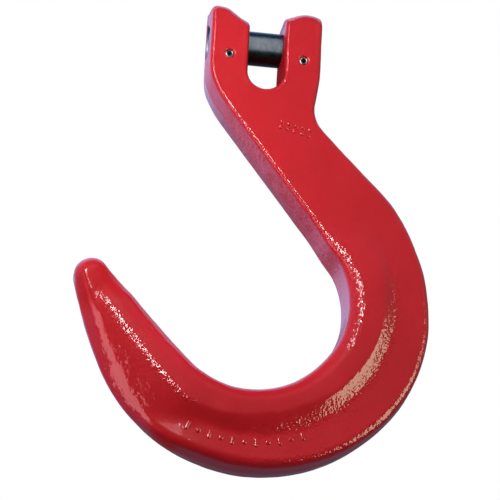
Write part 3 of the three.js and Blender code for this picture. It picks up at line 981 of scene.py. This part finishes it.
# ------------------------------------------------------------------ build the pieces
body = make_body()
pin = make_load_pin()
rolls = {s: make_roll_pin(f"spring_pin_{n}", s) for s, n in ((-1, "left"), (1, "right"))}

RED, DARK, SPRING = red_enamel(), dark_steel(), spring_steel()
for ob, mat, body_name, slot_name, nodes in (
    (body, RED, "hook", "red_enamel", ["hook_body"]),
    (pin, DARK, "pin", "dark_steel", ["load_pin"]),
    (rolls[-1], SPRING, "hook", "spring_steel", ["roll_pin_left"]),
    (rolls[1], SPRING, "hook", "spring_steel", ["roll_pin_right"]),
):
    ob.data.materials.clear()
    ob.data.materials.append(mat)
    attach(ob, body_name)
    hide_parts(*nodes)

# ------------------------------------------------------------------ floor, light, camera
scene = bpy.context.scene
scene.view_settings.view_transform = "Standard"
scene.view_settings.look = "None"
scene.view_settings.exposure = 0.0
scene.view_settings.gamma = 1.0

bpy.ops.mesh.primitive_plane_add(size=8.0, location=(0, 0, -0.34))
floor = bpy.context.active_object
floor.name = "floor"
fm, nt = node_tree("floor_paper")
b = Build(nt)
out = b.node("ShaderNodeOutputMaterial")
pale = b.node("ShaderNodeBsdfDiffuse")
pale.inputs["Color"].default_value = (0.82, 0.82, 0.83, 1)
glow = b.node("ShaderNodeEmission")
glow.inputs["Color"].default_value = (1, 1, 1, 1)
glow.inputs["Strength"].default_value = 0.62
mix = b.node("ShaderNodeAddShader")
b.link(pale.outputs[0], mix.inputs[0])
b.link(glow.outputs[0], mix.inputs[1])
b.link(mix.outputs[0], out.inputs[0])
floor.data.materials.append(fm)
floor.visible_diffuse = floor.visible_glossy = False  # the world lights the underside
floor.visible_shadow = False

# world: white to the camera, and a quiet studio to the surfaces
world = bpy.data.worlds.new("studio")
scene.world = world
world.use_nodes = True
nt = world.node_tree
nt.nodes.clear()
b = Build(nt)
out = b.node("ShaderNodeOutputWorld")
gen = b.node("ShaderNodeTexCoord").outputs["Generated"]
sep = b.node("ShaderNodeSeparateXYZ")
b.link(gen, sep.inputs[0])
sx, sy, sz = sep.outputs
behind = b.remap(sy, 0.0, 0.75)  # 0 in front, 1 behind the object
left = b.math("MULTIPLY", b.remap(sx, -0.45, -0.85), b.remap(sy, -0.5, 0.1))
above = b.remap(sz, -0.10, 0.16)
high = b.remap(sz, 0.36, 0.62)
top = b.remap(sz, 0.80, 0.93)
front_col = b.mix(above, (0.018, 0.018, 0.022), (0.17, 0.17, 0.185))
front_col = b.mix(high, front_col, (0.26, 0.25, 0.34))
front_col = b.mix(top, front_col, (0.02, 0.09, 0.15))
# behind: dim teal low down, lavender towards the left and above
turn = b.math("MULTIPLY_ADD", sx, -1.1, b.math("ADD", sz, 0.128))
back_col = b.mix(b.remap(turn, -0.05, 0.12), (0.10, 0.09, 0.14), (0.09, 0.14, 0.17))
back_col = b.mix(b.remap(turn, 0.12, 0.42), back_col, (0.22, 0.19, 0.34))
back_col = b.mix(b.remap(turn, 0.42, 0.58), back_col, (0.50, 0.58, 1.02))
back_col = b.mix(b.remap(sz, 0.45, 0.8), back_col, (0.80, 0.74, 1.25))
env = b.mix(behind, front_col, back_col)
env = b.mix(left, env, (0.34, 0.27, 0.54))
bg_env = b.node("ShaderNodeBackground")
b.link(env, bg_env.inputs[0])
bg_env.inputs[1].default_value = 1.0
bg_dif = b.node("ShaderNodeBackground")
around = b.mix(b.remap(sz, -0.55, 0.3), (0.16, 0.155, 0.16), (0.98, 1.0, 1.03))
b.link(b.mix(b.remap(sz, 0.35, 0.8), around, (0.55, 0.55, 0.57)), bg_dif.inputs[0])
bg_dif.inputs[1].default_value = 0.90
bg_cam = b.node("ShaderNodeBackground")
bg_cam.inputs[0].default_value = (1, 1, 1, 1)
bg_cam.inputs[1].default_value = 1.0
path = b.node("ShaderNodeLightPath")
m1 = b.node("ShaderNodeMixShader")
b.link(path.outputs["Is Diffuse Ray"], m1.inputs[0])
b.link(bg_env.outputs[0], m1.inputs[1])
b.link(bg_dif.outputs[0], m1.inputs[2])
m2 = b.node("ShaderNodeMixShader")
b.link(path.outputs["Is Camera Ray"], m2.inputs[0])
b.link(m1.outputs[0], m2.inputs[1])
b.link(bg_cam.outputs[0], m2.inputs[2])
b.link(m2.outputs[0], out.inputs[0])


def panel(name, azimuth, elevation, distance, width, height, power, colour,
          diffuse=True, glossy=True, target=(0, 0, 0.1)):  # fmt: skip
    """A soft box. Azimuth is from -Y towards +X, elevation above the horizon."""
    a, e = math.radians(azimuth), math.radians(elevation)
    way = Vector((math.sin(a) * math.cos(e), -math.cos(a) * math.cos(e), math.sin(e)))
    light = bpy.data.lights.new(name, "AREA")
    light.shape = "RECTANGLE"
    light.size, light.size_y = width, height
    light.energy = power
    light.color = colour
    ob = bpy.data.objects.new(name, light)
    scene.collection.objects.link(ob)
    ob.location = Vector(target) + way * distance
    ob.rotation_mode = "QUATERNION"
    ob.rotation_quaternion = way.to_track_quat("Z", "Y")
    ob.visible_camera = False
    ob.visible_diffuse = diffuse
    ob.visible_glossy = glossy
    return ob


# radiance of a panel = power / (pi * area) for a one-sided area light
def radiance(value, width, height):
    return value * math.pi * width * height


def box_at(azimuth, elevation, half_az, half_el, distance):
    w = 2 * distance * math.tan(math.radians(half_az))
    return w, 2 * distance * math.tan(math.radians(half_el))


# what the gloss shows: a tall white strip to the left of the camera, a rosy card
# lower and further left, a warm card low on the right
w, h = box_at(-29, 9, 5.5, 17, 1.0)
panel("key_strip", -29, 9, 1.0, w, h, radiance(32, w, h), (1.0, 0.965, 0.97), diffuse=False)
w, h = box_at(-68, -20, 9.5, 17, 1.0)
panel("rose_card", -68, -20, 1.0, w, h, radiance(4.4, w, h), (1.0, 0.50, 0.53), diffuse=False)
w, h = box_at(63, -16, 17, 20, 1.0)
panel("warm_card", 63, -16, 1.0, w, h, radiance(6.3, w, h), (1.0, 0.86, 0.62), diffuse=False)

# a big dim box that only the load pin mirrors, so that the flat red faces stay deep
w, h = box_at(4, 21, 36, 46, 1.0)
pin_box = panel("pin_box", 4, 21, 1.0, w, h, radiance(1.0, w, h), (0.93, 0.98, 1.0), diffuse=False)
only = bpy.data.collections.new("mirrored_by_the_pin")
only.objects.link(pin)
pin_box.light_linking.receiver_collection = only

# what the colour shows: a lamp close to the upper left of the head, a side fill for
# the left faces, and soft light from behind for the back
for name, place, size, power, colour in (
    ("head_lamp", (-0.078, -0.175, 0.185), 0.10, 0.20, (1.0, 0.99, 1.0)),
    ("left_fill", (-1.0, 0.10, 0.22), 0.6, 2.6, (1.0, 0.95, 1.0)),
    ("back_fill", (0.35, 1.2, 0.5), 0.9, 5.0, (1.0, 0.99, 0.98)),
):
    light = bpy.data.lights.new(name, "AREA")
    light.shape = "SQUARE"
    light.size = size
    light.energy = power
    light.color = colour
    ob = bpy.data.objects.new(name, light)
    scene.collection.objects.link(ob)
    ob.location = place
    way = Vector(place) - Vector((0, 0, place[2] if abs(place[1]) < 0.3 else 0.1))
    ob.rotation_mode = "QUATERNION"
    ob.rotation_quaternion = way.to_track_quat("Z", "Y")
    ob.visible_camera = False
    ob.visible_glossy = False

# camera at the angle the hook is seen from: from its left and below, looking up
C = np.array([-133.895, -1078.895, -452.235 + PIN_Z]) * 0.001
yaw, pitch, roll = (math.radians(v) for v in (7.0, 18.0, 3.0))
dv = np.array(
    [
        math.sin(yaw) * math.cos(pitch),
        math.cos(yaw) * math.cos(pitch),
        math.sin(pitch),
    ]
)
r0 = np.array([math.cos(yaw), -math.sin(yaw), 0])
u0 = np.cross(r0, dv)
rv = math.cos(roll) * r0 + math.sin(roll) * u0
uv = -math.sin(roll) * r0 + math.cos(roll) * u0
cam = bpy.data.cameras.new("camera")
cam.sensor_width = 36.0
cam.lens = 36.0 * 2500.0 / 500.0
cam.clip_start, cam.clip_end = 0.05, 50.0
camera = bpy.data.objects.new("camera", cam)
scene.collection.objects.link(camera)
camera.matrix_world = Matrix(
    (
        (rv[0], uv[0], -dv[0], C[0]),
        (rv[1], uv[1], -dv[1], C[1]),
        (rv[2], uv[2], -dv[2], C[2]),
        (0, 0, 0, 1),
    )
)
scene.camera = camera
